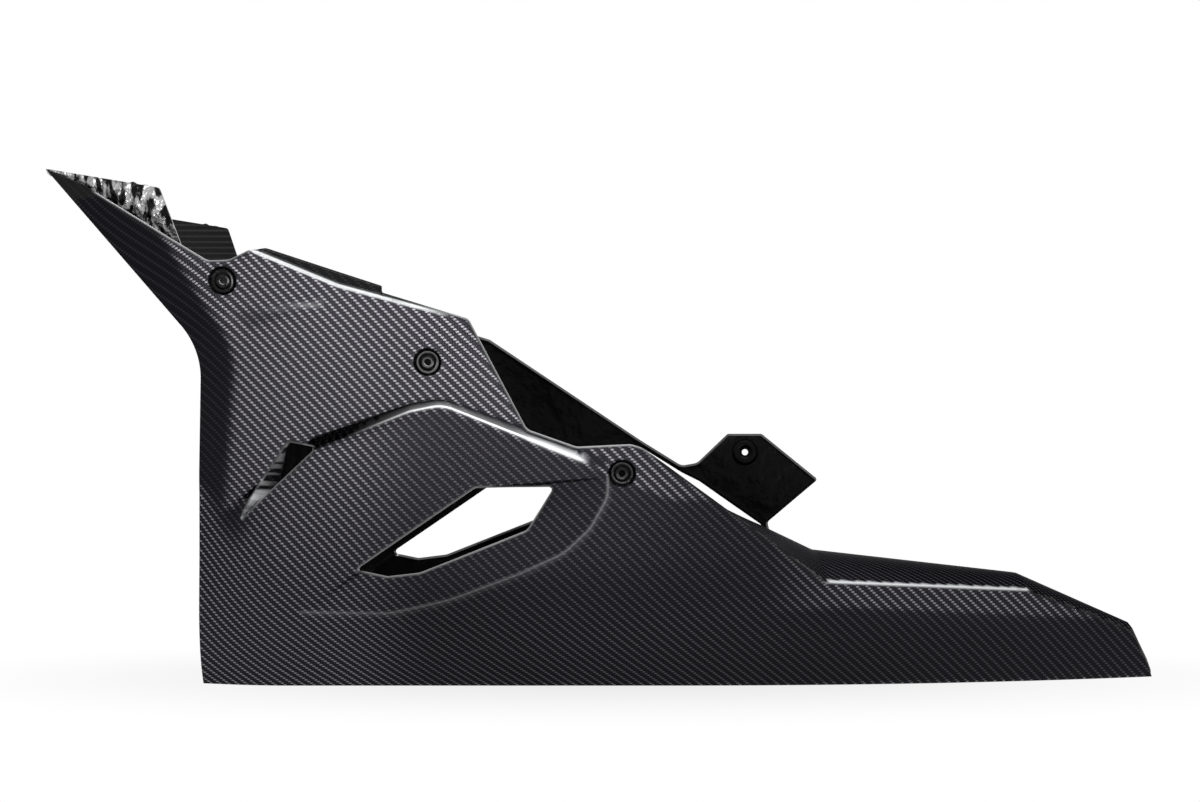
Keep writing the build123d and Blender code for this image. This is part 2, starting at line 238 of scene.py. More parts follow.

# Painted highlights: where creases are painted bright, and how far
SHINE_LINE = 0.9
SHINE_BEND_OVER = 1.0
SHINE_BEND_FRONT = 6.0
SHINE_BEND_REAR = (-125.0, -40.0)
SHINE_CREST_OVER = 0.4
SHINE_CREST_WIDTH = 0.8
SHINE_CREST_WIDER = 0.7
SHINE_CREST_WIDENS = (-90.0, 30.0)
SHINE_CREST_FRONT = (-215.0, 50.0)
SHINE_CREST_REAR = -12.0
SHINE_SCOOP = 0.1
SHINE_SCOOP_WIDTH = 1.0
SHINE_FOLD = 0.08
SHINE_FOLD_WIDTH = 1.6
SHINE_FOLD_FRONT = (-285.0, 45.0)
SHINE_RIM = 0.5
SHINE_RIM_OVER = (4.0, -2.0)
SHINE_RIM_REAR = (25.0, -10.0)
SHINE_RIDGE_FRONT = 4.0
SHINE_RIDGE_REAR = -10.0
SHINE_VENT = (158.0, -3.0)

# Weave and tones
FLOAT_TOWS = 2.0
FLOAT_SHARPNESS = 1.6
WARP_SHARE = 0.08
TOW_STREAK = 0.55
QUARTER_TURN = 0.25
TOW_GRAZING_TONE = (0.3, 0.3, 0.3, 1.0)
TOW_TONE = (0.278, 0.266, 0.294, 1.0)
GROUND_TONE = (0.012, 0.0117, 0.0142, 1.0)
# Ground where the weave is plain, darker as painted shade
PLAIN_PAINTED_SHADE_TONE = (0.003, 0.003, 0.0034, 1.0)
# Bright reflective tone of painted highlights
PAINTED_HIGHLIGHT_TONE = (0.85, 0.86, 0.87, 1.0)
PLAIN_COAT = 0.25
PLAIN_HIDES = 0.96
COAT_ROUGHNESS = 0.04
BLUE_CAST = 1.03
INSIDE_SPECULAR = 0.06
# Painted glints on a horn's wrinkled face: their stretch, and the range of their reflective tone
PAINTED_GLINT_STRETCH = (170.0, 170.0, 75.0)
PAINTED_GLINT_RANGE = {"From Min": 0.45, "From Max": 0.55, "To Min": 0.01, "To Max": 0.36}
RIB_SPECULAR = 0.15
RIB_SCALE = 60.0

# Stage, in metres
FLOOR_SIZE = 12.0
FLOOR_TONE = (0.5, 0.5, 0.5, 1.0)
FLOOR_ROUGHNESS = 0.9
# Painted soft shadow on the floor round the pan: its reach, and its tone at the middle
PAINTED_SHADOW_REACH = (0.66, 0.3, 1.0)
PAINTED_SHADOW_TONE = 0.8
STUDIO_TONE = (0.5, 0.51, 0.52, 1.0)
STUDIO_STRENGTH = 0.09
WHITE = (1.0, 1.0, 1.0, 1.0)

# Lamps: name, place, target and size in metres, power in watts, spread in degrees
LAMPS = [
    ("overhead", (0.0, -0.45, 1.5), (0.0, -0.2, 0.2), (1.8, 0.14), 5.0, 110.0),
    ("low_front", (-0.15, -0.62, 0.015), (-0.23, -0.13, 0.4), (0.5, 0.3), 2.2, 76.0),
    ("low_far", (-0.15, 0.62, 0.015), (-0.23, 0.13, 0.4), (0.5, 0.3), 2.2, 76.0),
    ("rear", (0.9, -1.0, 0.5), (0.28, -0.07, 0.07), (0.5, 0.5), 0.05, 36.0)]

# Camera: place, lens and sensor in millimetres, and its rise as a share of the picture's width
CAMERA_PLACE = (-21.0, -1500.0, 188.0)
CAMERA_LENS = 54.0
CAMERA_SENSOR = 36.0
CAMERA_RISE = 49.0 / 1200.0

# What centres the part on its frame
CENTRING = np.array([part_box("belly_pan_shell")[1].x / MM - TAIL_X, 0.0, 0.0])


def smooth(value):
    """Ease from 0 to 1."""
    value = np.clip(value, 0.0, 1.0)
    return value * value * (3.0 - 2.0 * value)


def ramp(value, start, run):
    """Ease from 0 to 1 as a value goes on from start over a run, which is negative downwards."""
    return smooth((value - start) / run)


def line_share(away, width):
    """Strength of a soft line, from how far away it is."""
    return np.exp(-(away / width) ** 2)


def lower(a, b, blend):
    """The lesser of two half widths, with a rounded crease."""
    return 0.5 * (a + b - np.sqrt((a - b) ** 2 + blend ** 2))


def higher(a, b, blend):
    """The greater of two half widths, with a rounded crease."""
    return 0.5 * (a + b + np.sqrt((a - b) ** 2 + blend ** 2))


def rounded_path(corners, closed=False):
    """Points along corners of (x, z) or (x, z, radius), with an arc at each radius."""
    places = [np.array(corner[:2]) for corner in corners]
    radii = [corner[2] if len(corner) > 2 else 0.0 for corner in corners]
    points = []
    for i, (place, radius) in enumerate(zip(places, radii)):
        if radius == 0.0 or (not closed and i in (0, len(places) - 1)):
            points.append(place)
            continue
        back = places[i - 1] - place
        ahead = places[(i + 1) % len(places)] - place
        back /= np.linalg.norm(back)
        ahead /= np.linalg.norm(ahead)
        half = math.acos(float(np.clip(back @ ahead, -1.0, 1.0))) / 2.0
        reach = radius / math.tan(half)
        middle = (back + ahead) / np.linalg.norm(back + ahead)
        centre = place + middle * radius / math.sin(half)
        start = place + back * reach - centre
        end = place + ahead * reach - centre
        sweep = math.pi - 2.0 * half
        steps = max(2, int(sweep * radius / ARC_STEP))
        for k in range(steps + 1):
            share = k / steps
            turned = start * math.sin((1.0 - share) * sweep) + end * math.sin(share * sweep)
            points.append(centre + turned / math.sin(sweep))
    return np.array(points)


def resampled(points, step):
    """Points along a path, no further apart than step, keeping its corners."""
    out = [points[0]]
    for a, b in zip(points[:-1], points[1:]):
        pieces = max(1, int(math.ceil(np.linalg.norm(b - a) / step)))
        out += [a + (b - a) * k / pieces for k in range(1, pieces + 1)]
    return np.array(out)


def closed_path(corners):
    """Rounded loop of fine points, without its first point again at the end."""
    loop = rounded_path(corners, closed=True)
    return resampled(np.vstack([loop, loop[:1]]), FINE)[:-1]


LEAD = rounded_path([EDGE_FOOT, EDGE_KNEE, HORN_TIP])
LEDGE = rounded_path([
    (-345.0, 95.0), (*VENT_FOOT, 12.0), (*VENT_REAR, 12.0), (-166.0, 217.0, 30.0), (*LEDGE_PEAK, 30.0),
    LEDGE_END, (32.0, 153.0)])
BEND = rounded_path([
    (-320.0, 380.0), (-292.0, 341.0, 6.0), (-219.0, 311.5, 20.0), (-138.0, 290.0), (-100.0, 292.0)])
SCOOP_TOP = rounded_path([SCOOP_TIP, (*WINDOW_PEAK, 5.0), SCOOP_END])
SCOOP_FOOT = rounded_path([
    SCOOP_TIP, (-183.0, 62.0, 60.0), (-136.0, 73.0, 80.0), (-83.0, 93.0, 80.0), (-49.0, 108.5, 40.0),
    (-28.5, 127.5, 30.0), (-15.0, 152.0, 20.0), SCOOP_END])
SCOOP_LOOP = np.vstack([SCOOP_FOOT, SCOOP_TOP[-2:0:-1]])
RIDGE = np.array([SLANT_FOOT, RIDGE_REAR])
DECK_LINE = np.array([SLANT_TOP, SLANT_FOOT, RIDGE_REAR, RIDGE_TIP, TAIL_FOOT])
SLANT_RUN = (SLANT_FOOT[0] - SLANT_TOP[0]) / (SLANT_FOOT[1] - SLANT_TOP[1])


def height_over(x, z, path):
    """Height of a place over a path that runs along x."""
    return z - np.interp(x, path[:, 0], path[:, 1])


def tapered(x, start):
    """Share of a taper that begins at start and is full at the tail."""
    return np.maximum(0.0, (x - start) / (TAIL_X - start)) ** TAPER_POWER


def hull_half(x, z):
    """Half width of the plain hull."""
    spread = FRONT_SPREAD * ramp(x, *FRONT_SPREAD_X)
    lean = (SIDE_TOP_HALF + spread - BEAM_HALF) / SIDE_RISE
    keel = KEEL_HALF - KEEL_TAPER * tapered(x, KEEL_TAPER_X)
    bilge = BEAM_HALF - BEAM_TAPER * tapered(x, BEAM_TAPER_X) - keel - lean * BILGE_TOP
    climb = 1.0 - (1.0 - np.minimum(z / BILGE_TOP, 1.0)) ** 2
    raised = smooth(z / BILGE_TOP)
    nose = np.clip((EDGE_FOOT[0] + NOSE_LENGTH - x) / NOSE_LENGTH, 0.0, 2.0)
    inset = NOSE_INSET * (1.0 - np.cos(math.pi / 2.0 * nose))
    fade = ramp(z, *NOSE_TOP) * (NOSE_FOOT_SHARE + (1.0 - NOSE_FOOT_SHARE) * raised)
    along = np.clip((x - SWELL_FRONT_X) / (SWELL_REAR_X - SWELL_FRONT_X), 0.0, 1.0)
    swell = SWELL * np.sin(math.pi * along) ** 2 * raised
    return keel + bilge * climb + lean * z + swell - inset * fade


def plane_through(points):
    """Half width as a function of place, for the plane through three (x, half width, z) points."""
    points = np.array(points)
    a, b, c = np.linalg.solve(np.column_stack([np.ones(3), points[:, 0], points[:, 2]]), points[:, 1])
    return lambda x, z: a + b * x + c * z


def on_hull(x, z, inwards=0.0):
    """Place on the hull, or inwards of it, as (x, half width, z)."""
    return (x, float(hull_half(np.array(x), np.array(z))) - inwards, z)


def on_panel(x, z):
    """Place on the upper panel, as (x, half width, z)."""
    return (x, panel(x, z), z)


panel = plane_through([on_hull(*PANEL_FRONT), on_hull(*LEDGE_END), PANEL_TOP])
flare = plane_through([on_panel(*FLARE_FRONT), on_panel(*FLARE_REAR), FLARE_HORN])
tail_facet = plane_through([
    on_hull(*TAIL_CREASE[0]), on_hull(*TAIL_CREASE[1]), on_hull(*FACET_TOP, inwards=FACET_DEPTH)])
LEDGE_HALF = on_hull(*LEDGE_PEAK)[1]


def upper_half(x, z):
    """Half width of the panel and the flare over the ledge."""
    return higher(panel(x, z), flare(x, z), FLARE_ROUND)


def front_face(x, z):
    """Half width of the face behind the leading edge."""
    return EDGE_HALF_FOOT + EDGE_LEAN * z + FRONT_FACE_SLOPE * (x - np.interp(z, LEAD[:, 1], LEAD[:, 0]))


def skin_half(x, z):
    """Half width of the finished outside, without its screw seats and rolled edges."""
    bevel = LEDGE_HALF - height_over(x, z, LEDGE) / LEDGE_RISE
    recess = higher(upper_half(x, z), bevel, BEVEL_FOOT_ROUND)
    recess = recess + LEDGE_END_SLOPE * np.maximum(0.0, x - LEDGE_END[0])
    half = lower(hull_half(x, z), recess, CREST_ROUND)
    over_bend = np.clip(height_over(x, z, BEND), 0.0, FLANGE_HEIGHT)
    half = half - FLANGE_STEP * smooth(over_bend / FLANGE_STEP_RUN) - FLANGE_LEAN * over_bend
    half = half - HOLLOW_DEPTH * hollow_share(x, z)
    places = np.column_stack([x, z])
    in_scoop = ramp(height_over(x, z, SCOOP_TOP), 0.0, SCOOP_EDGE) * inside(places, SCOOP_LOOP)
    from_foot = np.hypot(distance_to(places, SCOOP_FOOT), SCOOP_ROUND) - SCOOP_ROUND
    half = half - SCOOP_SLOPE * from_foot * in_scoop
    slant_x = SLANT_FOOT[0] + SLANT_RUN * (z - SLANT_FOOT[1])
    on_tail = ramp(x - slant_x, *FACET_FRONT) * (height_over(x, z, DECK_LINE) < FACET_OVER_DECK)
    half = half + (lower(half, tail_facet(x, z), FACET_ROUND) - half) * on_tail
    return lower(half, front_face(x, z), FRONT_CREASE)


def hollow_share(x, z):
    """How far a place lies in the shallow hollow under the flare's fold."""
    under = -height_over(x, z, FLARE_FOLD)
    drop = np.interp(x, FLARE_FOLD[:, 0], HOLLOW_DROP)
    return ramp(under, *HOLLOW_TOP) * ramp(under - drop, 0.0, HOLLOW_FOOT)


def bevel_rise(x, z):
    """Height of the ledge's bevel, up to where it meets the panel and the flare."""
    return LEDGE_RISE * (LEDGE_HALF - upper_half(x, z))


def bevel_top():
    """Line along the top of the ledge's bevel."""
    x = np.arange(LEDGE[0, 0], LEDGE_END[0], FINE)
    foot = np.interp(x, LEDGE[:, 0], LEDGE[:, 1])
    z = foot
    for _ in range(BEVEL_TOP_ROUNDS):
        z = foot + bevel_rise(x, z)
    return np.column_stack([x, z])


def bevel_share(x, z):
    """How far a place lies on the ledge's bevel."""
    rise = height_over(x, z, LEDGE)
    return ramp(rise, *BEVEL_FOOT_EDGE) * ramp(rise - bevel_rise(x, z), *BEVEL_TOP_EDGE)


def gloss_and_painted_shade_share(x, z, lip, seats):
    """How far the weave is glossed and darkened as painted shade: on the ledge's bevel, the flange, the
    seats, the rolled lips.
    """
    bevel = bevel_share(x, z) * ramp(x, *PLAIN_BEVEL_FRONT) * ramp(x, *PLAIN_BEVEL_REAR)
    flange = ramp(height_over(x, z, BEND), *PLAIN_FLANGE)
    shares = [bevel, flange, ramp(lip, FREE_ROLL, PLAIN_FADE)]
    for seat in seats:
        away = np.hypot(x - seat[0], z - seat[1])
        shares.append(ramp(away, SEAT_RADIUS + PLAIN_SEAT_MARGIN, PLAIN_FADE))
    return np.max(shares, axis=0)


def painted_shade_share(x, z, half):
    """How far the weave is dimmed as painted shade: below the ledge, on the front face, bevel and hollow."""
    off_keel = np.maximum(ramp(z, *DIM_KEEL_Z), ramp(x, *DIM_KEEL_X))
    keel = DIM_KEEL_SHARE + (1.0 - DIM_KEEL_SHARE) * off_keel
    side = np.maximum(ramp(x, *DIM_SIDE_REAR), ramp(height_over(x, z, TAIL_CREASE), 0.0, DIM_CREASE_FADE))
    below = ramp(height_over(x, z, LEDGE), 0.0, DIM_LEDGE_FADE) * keel * side * ramp(x, *DIM_NOSE)
    front = ramp(front_face(x, z) - half, *DIM_FRONT_FACE)
    bevel = bevel_share(x, z) * ramp(x, *DIM_BEVEL_FRONT) * (x < DIM_BEVEL_REAR_X)
    hollow = hollow_share(x, z)
    return np.max([DIM_BELOW * below, DIM_FRONT * front, DIM_BEVEL * bevel, DIM_HOLLOW * hollow], axis=0)


def painted_highlight_share(x, z, lip):
    """How far a crease carries a painted highlight: the bend, the crest, the ridge, the scoop, the fold and
    the lips.
    """
    over_bend = height_over(x, z, BEND)
    bend = line_share(over_bend - SHINE_BEND_OVER, SHINE_LINE)
    bend = bend * ramp(x, BEND[1, 0], SHINE_BEND_FRONT) * ramp(x, *SHINE_BEND_REAR)
    width = SHINE_CREST_WIDTH + SHINE_CREST_WIDER * ramp(x, *SHINE_CREST_WIDENS)
    crest = line_share(height_over(x, z, LEDGE) - SHINE_CREST_OVER, width)
    crest = crest * ramp(x, *SHINE_CREST_FRONT) * ramp(x, LEDGE_END[0], SHINE_CREST_REAR)
    places = np.column_stack([x, z])
    ridge = line_share(distance_to(places, RIDGE), SHINE_LINE)
    scoop = SHINE_SCOOP * line_share(distance_to(places, SCOOP_FOOT), SHINE_SCOOP_WIDTH)
    fold = SHINE_FOLD * line_share(distance_to(places, FLARE_FOLD), SHINE_FOLD_WIDTH)
    fold = fold * ramp(x, *SHINE_FOLD_FRONT)
    rim = SHINE_RIM * line_share(lip, SHINE_LINE)
    rim = rim * ramp(over_bend, *SHINE_RIM_OVER) * ramp(x, *SHINE_RIM_REAR)
    return np.max([bend, crest, ridge, scoop, fold, rim], axis=0)


def inside(points, loop):
    """Which points lie inside a closed loop."""
    x, z = points[:, 0], points[:, 1]
    hit = np.zeros(len(points), bool)
    for (ax, az), (bx, bz) in zip(loop, np.roll(loop, -1, axis=0)):
        if az == bz:
            continue
        crosses = (az > z) != (bz > z)
        hit ^= crosses & (x < (bx - ax) * (z - az) / (bz - az) + ax)
    return hit


def within(points, outer, holes):
    """Which points lie inside an outline and outside its holes."""
    room = inside(points, outer)
    for hole in holes:
        room &= ~inside(points, hole)
    return room


def distance_to(points, path):
    """Distance from each point to a path of short segments."""
    best = np.full(len(points), np.inf)
    for a, b in zip(path[:-1], path[1:]):
        run = b - a
        share = np.clip((points - a) @ run / max(run @ run, TINY), 0.0, 1.0)
        best = np.minimum(best, np.linalg.norm(points - a - share[:, None] * run, axis=1))
    return best


def beside(path, offsets):
    """Rows of points beside a path."""
    run = np.gradient(path, axis=0)
    length = np.maximum(np.linalg.norm(run, axis=1), TINY)
    normal = np.column_stack([-run[:, 1], run[:, 0]]) / length[:, None]
    return np.concatenate([path + normal * offset for offset in offsets])


def thinned(points, keep_from, gap):
    """Points no nearer than gap to one another and to those in keep_from, found by cells."""
    taken = {}
    for place in keep_from:
        taken.setdefault((int(place[0] // gap), int(place[1] // gap)), []).append(place)
    out = []
    for place in points:
        cell = (int(place[0] // gap), int(place[1] // gap))
        near = [other for i in (-1, 0, 1) for j in (-1, 0, 1)
                for other in taken.get((cell[0] + i, cell[1] + j), ())]
        if all((place[0] - other[0]) ** 2 + (place[1] - other[1]) ** 2 > gap * gap for other in near):
            out.append(place)
            taken.setdefault(cell, []).append(place)
    return np.array(out).reshape(-1, 2)


def triangulated(outer, holes, rows):
    """Points and triangles that fill an outline around its holes, with extra rows of points."""
    loops = [outer] + holes
    edge_points = np.concatenate(loops)
    low, high = outer.min(axis=0), outer.max(axis=0)
    grid = np.stack(np.meshgrid(np.arange(low[0], high[0], GRID), np.arange(low[1], high[1], GRID)), -1)
    rows = thinned(rows, edge_points, ROW_GAP)
    filling = thinned(grid.reshape(-1, 2), np.concatenate([edge_points, rows]), GRID_GAP)
    wanted = np.concatenate([rows, filling])
    points = np.concatenate([edge_points, wanted[within(wanted, outer, holes)]])
    edges, start = [], 0
    for loop in loops:
        edges += [(start + i, start + (i + 1) % len(loop)) for i in range(len(loop))]
        start += len(loop)
    found = delaunay_2d_cdt([Vector(place) for place in points], edges, [], 0, SAME_PLACE)
    placed = np.array([tuple(v) for v in found[0]])
    faces = np.array(found[2])
    return placed, faces[within(placed[faces].mean(axis=1), outer, holes)]


def ring(centre, radius, count=RING_POINTS):
    """Points round a circle."""
    turn = np.arange(count) * 2.0 * math.pi / count
    return np.array(centre) + radius * np.column_stack([np.cos(turn), np.sin(turn)])


def side_sheet(rear, holes, seats, deck_start):
    """Points, half widths, triangles, deck edge, and shares of gloss and painted light of a side; rear is its
    edge behind the brow.
    """
    deck = [place for place in DECK_LINE if place[0] > deck_start]
    lead = resampled(LEAD, GRID)
    free = resampled(rounded_path([HORN_TIP] + TOP_EDGE + rear), FINE)
    tail = resampled(np.array([free[-1]] + deck + [KEEL_REAR]), GRID)
    keel = resampled(np.array([KEEL_REAR, EDGE_FOOT]), GRID)
    outer = np.concatenate([path[:-1] for path in (lead, free, tail, keel)])[::-1]
    openings = [closed_path(hole) for hole in holes]
    rims = [np.vstack([path, path[:1]]) for path in openings]
    screws = [ring(seat, SCREW_RADIUS, SCREW_SIDES) for seat in seats]
    rows = [beside(free, LIP_ROWS), beside(tail, LIP_ROWS)]
    rows += [beside(rim, LIP_ROWS + tuple(-offset for offset in LIP_ROWS)) for rim in rims]
    rows += [ring(seat, radius) for seat in seats for radius in SEAT_RINGS]
    for path, step, offsets in (
            (LEDGE, FINE, LEDGE_ROWS), (bevel_top(), FINE, BEVEL_TOP_ROWS), (BEND, FINE, BEND_ROWS),
            (SCOOP_TOP, FINE, SCOOP_TOP_ROWS), (SCOOP_FOOT, FINE, SCOOP_FOOT_ROWS),
            (TAIL_CREASE, GRID, TAIL_CREASE_ROWS)):
        rows.append(beside(resampled(path, step), offsets))
    points, faces = triangulated(outer, openings + screws, np.concatenate(rows))
    x, z = points[:, 0], points[:, 1]
    half = skin_half(x, z)
    dim = painted_shade_share(x, z, half)
    for seat in seats:
        away = np.linalg.norm(points - np.array(seat), axis=1)
        boss = BOSS_HEIGHT * ramp(away, BOSS_RADIUS, BOSS_SLOPE)
        half -= SEAT_DEPTH * ramp(away, SEAT_RADIUS + SEAT_LIP, SEAT_SLOPE) - boss
    lipped = [free, tail[tail[:, 1] > TAIL_LIP_Z]] + rims
    lip = np.min([distance_to(points, path) for path in lipped], axis=0)
    short = np.clip(FREE_ROLL - lip, 0.0, FREE_ROLL)
    half -= FREE_ROLL - np.sqrt(FREE_ROLL ** 2 - short ** 2)
    # Shares of gloss with painted shade, of painted highlight, and of painted shade
    finish_and_painted_light = np.column_stack([gloss_and_painted_shade_share(x, z, lip, seats), painted_highlight_share(x, z, lip), dim])
    return points, half, faces, tail, finish_and_painted_light


def return_sheet():
    """Points, half widths, triangles and shares of gloss and painted light of the inner return behind a
    horn's leading edge.
    """
    foot_x = float(np.interp(RETURN_FOOT_Z, LEAD[:, 1], LEAD[:, 0]))
    front = np.vstack([(foot_x, RETURN_FOOT_Z), LEAD[LEAD[:, 1] > RETURN_FOOT_Z]]) + RETURN_SET_BACK
    heel = (foot_x + RETURN_FOOT_WIDTH, RETURN_FOOT_Z + RETURN_FOOT_WIDTH)
    back = rounded_path([tuple(front[-1])] + RETURN_BACK + [heel, tuple(front[0])])
    outer = np.vstack([resampled(front, GRID), resampled(back, GRID)[1:-1]])[::-1]
    points, faces = triangulated(outer, [], np.zeros((0, 2)))
    half = EDGE_HALF_FOOT + EDGE_LEAN * points[:, 1] - RETURN_INWARD
    return points, half, faces, None, np.zeros((len(points), len(FINISH_AND_PAINTED_LIGHT_TITLES)))


def faces_up(points, faces):
    """Triangles turned anticlockwise."""
    a, b, c = (points[faces[:, k]] for k in range(3))
    turned = (b[:, 0] - a[:, 0]) * (c[:, 1] - a[:, 1]) - (b[:, 1] - a[:, 1]) * (c[:, 0] - a[:, 0]) < 0.0
    return np.where(turned[:, None], faces[:, ::-1], faces)


def as_side(sheet, sign, lay):
    """A side in space: corners, outward triangles, shares of gloss and painted light, and how cloth lies;
    sign is -1 on the left.
    """
    points, half, faces, _, finish_and_painted_light = sheet
    corners = np.column_stack([points[:, 0], sign * half, points[:, 1]])
    ordered = faces_up(points, faces)
    return corners, (ordered if sign < 0 else ordered[:, ::-1]), finish_and_painted_light, lay


def nearest_half(sheet, path):
    """Half widths of the sheet's own points along a path."""
    points, half = sheet[0], sheet[1]
    return np.array([half[np.argmin(((points - place) ** 2).sum(axis=1))] for place in path])


def deck_sheet(left, right):
    """Crowned deck over the tail, between the two sides' upper edges and the mouth."""
    edges = []
    for sheet in (left, right):
        path = sheet[3]
        path = path[:int(np.argmin(np.linalg.norm(path - np.array(TAIL_FOOT), axis=1))) + 1]
        edges.append((path, nearest_half(sheet, path)))
    (left_path, left_half), (right_path, right_half) = edges
    left_rim = np.column_stack([left_path[:, 0], -left_half])
    right_rim = np.column_stack([right_path[:, 0], right_half])
    mouth = resampled(rounded_path([right_rim[0]] + MOUTH + [left_rim[0]]), MOUTH_STEP)
    outer = np.concatenate([left_rim, right_rim[::-1], mouth[1:-1]])
    points, faces = triangulated(outer, [], beside(mouth, MOUTH_ROWS))
    x, y = points[:, 0], points[:, 1]
    share = y / np.interp(x, left_path[:, 0], left_half)
    crown = np.interp(x, CROWN_X, CROWN_HEIGHT) * np.maximum(0.0, 1.0 - share ** 2)
    height = np.interp(x, DECK_LINE[:, 0], DECK_LINE[:, 1]) + crown
    rim_height = np.concatenate([left_path[:, 1], right_path[::-1, 1]])
    on_rim = slice(0, len(rim_height))
    height[on_rim] = rim_height
    finish_and_painted_light = np.zeros((len(points), len(FINISH_AND_PAINTED_LIGHT_TITLES)))
    # Painted highlight along the ridge, and painted shade over the whole deck
    on_ridge = ramp(x, RIDGE[0, 0], SHINE_RIDGE_FRONT) * ramp(x, RIDGE[1, 0], SHINE_RIDGE_REAR)
    finish_and_painted_light[on_rim, FINISH_AND_PAINTED_LIGHT_TITLES.index("painted_highlight")] = on_ridge[on_rim]
    finish_and_painted_light[:, FINISH_AND_PAINTED_LIGHT_TITLES.index("dim")] = DIM_DECK
    return np.column_stack([points, height]), faces_up(points, faces), finish_and_painted_light, in_plan


def vent_wall(sheet, sign):
    """Wall that turns in from the vent's front edge, towards the rear."""
    loop = closed_path(VENT)
    front = np.array([corner[:2] for corner in VENT[:3]])
    path = loop[distance_to(loop, front) < ON_LINE]
    path = path[np.argsort(path[:, 1])]
    turn = np.clip((path[-1, 1] - path[:, 1]) / VENT_TURN_RUN, VENT_TURN_LEAST, 1.0)
    corners = np.empty((2 * len(path), 3))
    corners[0::2] = np.column_stack([path[:, 0], sign * nearest_half(sheet, path), path[:, 1]])
    corners[1::2] = corners[0::2] + VENT_TURN * turn[:, None] * np.array([1.0, -sign, -1.0])
    cells = [(2 * i, 2 * i + 1, 2 * i + 3, 2 * i + 2) for i in range(len(path) - 1)]
    if sign > 0.0:
        cells = [cell[::-1] for cell in cells]
    # Painted highlight at the wall's lower tip, and painted shade over the whole wall
    painted_glint = ramp(corners[:, 2], *SHINE_VENT)
    finish_and_painted_light = np.column_stack([np.zeros(len(corners)), painted_glint, np.full(len(corners), DIM_VENT)])
    return corners, cells, finish_and_painted_light, in_side_view


def foot_strips(left, right):
    """Flat keel and blunt tail end, as strips between the two sides."""
    foot = resampled(np.array([KEEL_REAR, EDGE_FOOT]), GRID)
    end = [place for place in left[3] if place[0] > TAIL_X - ON_LINE]
    path = np.vstack([np.array(end)[:-1], foot])
    halves = zip(nearest_half(left, path), nearest_half(right, path))
    corners, faces = [], []
    for i, ((x, z), (left_half, right_half)) in enumerate(zip(path, halves)):
        corners += [(x, -left_half, z), (x, right_half, z)]
        if i:
            faces.append((2 * i - 2, 2 * i, 2 * i + 1, 2 * i - 1))
    return np.array(corners), faces, np.zeros((len(corners), len(FINISH_AND_PAINTED_LIGHT_TITLES))), in_plan


def arc_length(x, z):
    """Height along the hull's own surface, for cloth that lies on it."""
    extra = np.zeros(len(x))
    for k in range(ARC_LEVELS):
        level = z * (k + 0.5) / ARC_LEVELS
        slope = (hull_half(x, level + SLOPE_REACH) - hull_half(x, level - SLOPE_REACH)) / (2.0 * SLOPE_REACH)
        extra += (np.sqrt(1.0 + slope ** 2) - 1.0) * z / ARC_LEVELS
    return z + extra


def down_hull(where):
    """Cloth coordinates of places on a side."""
    return np.column_stack([where[:, 0], arc_length(where[:, 0], where[:, 2])])


def in_plan(where):
    """Cloth coordinates of places on the deck and the keel."""
    return where[:, [0, 1]]


def in_side_view(where):
    """Cloth coordinates of places on a horn's return and a vent's wall."""
    return where[:, [0, 2]]


def made_object(name, sheets, materials):
    """Object from sheets of corners (mm), faces, shares of gloss and painted light, and cloth, welded where
    they meet.
    """
    mesh = bpy.data.meshes.new(name)
    corners, faces, start = [], [], 0
    for points, cells, _, _ in sheets:
        corners += [tuple(place) for place in (points + CENTRING) * MM]
        faces += [tuple(int(i) + start for i in cell) for cell in cells]
        start += len(points)
    mesh.from_pydata(corners, [], faces)
    all_finish_and_painted_light = np.concatenate([sheet[2] for sheet in sheets]).astype(np.float32)
    for column, title in enumerate(FINISH_AND_PAINTED_LIGHT_TITLES):
        share = mesh.attributes.new(title, "FLOAT", "POINT")
        share.data.foreach_set("value", np.ascontiguousarray(all_finish_and_painted_light[:, column]))
    sheet_of_face = np.repeat(np.arange(len(sheets)), [len(sheet[1]) for sheet in sheets])
    mesh.attributes.new("sheet", "INT", "FACE").data.foreach_set("value", sheet_of_face.astype(np.int32))
    build = bmesh.new()
    build.from_mesh(mesh)
    bmesh.ops.remove_doubles(build, verts=build.verts, dist=WELD * MM)
    build.to_mesh(mesh)
    build.free()
    lay_cloth(mesh, np.array([v.co for v in mesh.vertices]) / MM - CENTRING, sheets)
    for material in materials:
        mesh.materials.append(material)
    made = bpy.data.objects.new(name, mesh)
    bpy.context.scene.collection.objects.link(made)
    return made


def lay_cloth(mesh, where, sheets):
    """Lay each sheet's cloth on its own faces, as a UV map that counts tows."""
    corner_place = np.zeros(len(mesh.loops), np.int32)
    mesh.loops.foreach_get("vertex_index", corner_place)
    face_sheet = np.zeros(len(mesh.polygons), np.int32)
    mesh.attributes["sheet"].data.foreach_get("value", face_sheet)
    corner_sheet = np.repeat(face_sheet, [face.loop_total for face in mesh.polygons])
    laid = np.stack([sheet[3](where) for sheet in sheets])
    cloth = mesh.uv_layers.new(name="cloth")
    cloth.data.foreach_set("uv", (laid[corner_sheet, corner_place] / TOW).astype(np.float32).ravel())


def select_only(chosen):
    """Select some objects alone, the first of them active."""
    bpy.ops.object.select_all(action="DESELECT")
    for made in chosen:
        made.select_set(True)
    bpy.context.view_layer.objects.active = chosen[0]


def thickened(made, even=True):
    """The wall's thickness, inwards, with the inside in the next material and the rim in the one after."""
    select_only([made])
    wall = made.modifiers.new("wall", "SOLIDIFY")
    wall.thickness = WALL * MM
    wall.offset = -1.0
    wall.use_even_offset = even
    wall.material_offset = 1
    wall.material_offset_rim = 2
    bpy.ops.object.modifier_apply(modifier=wall.name)
    bpy.ops.object.shade_smooth_by_angle(angle=math.radians(CREASE_DEGREES))
    return made


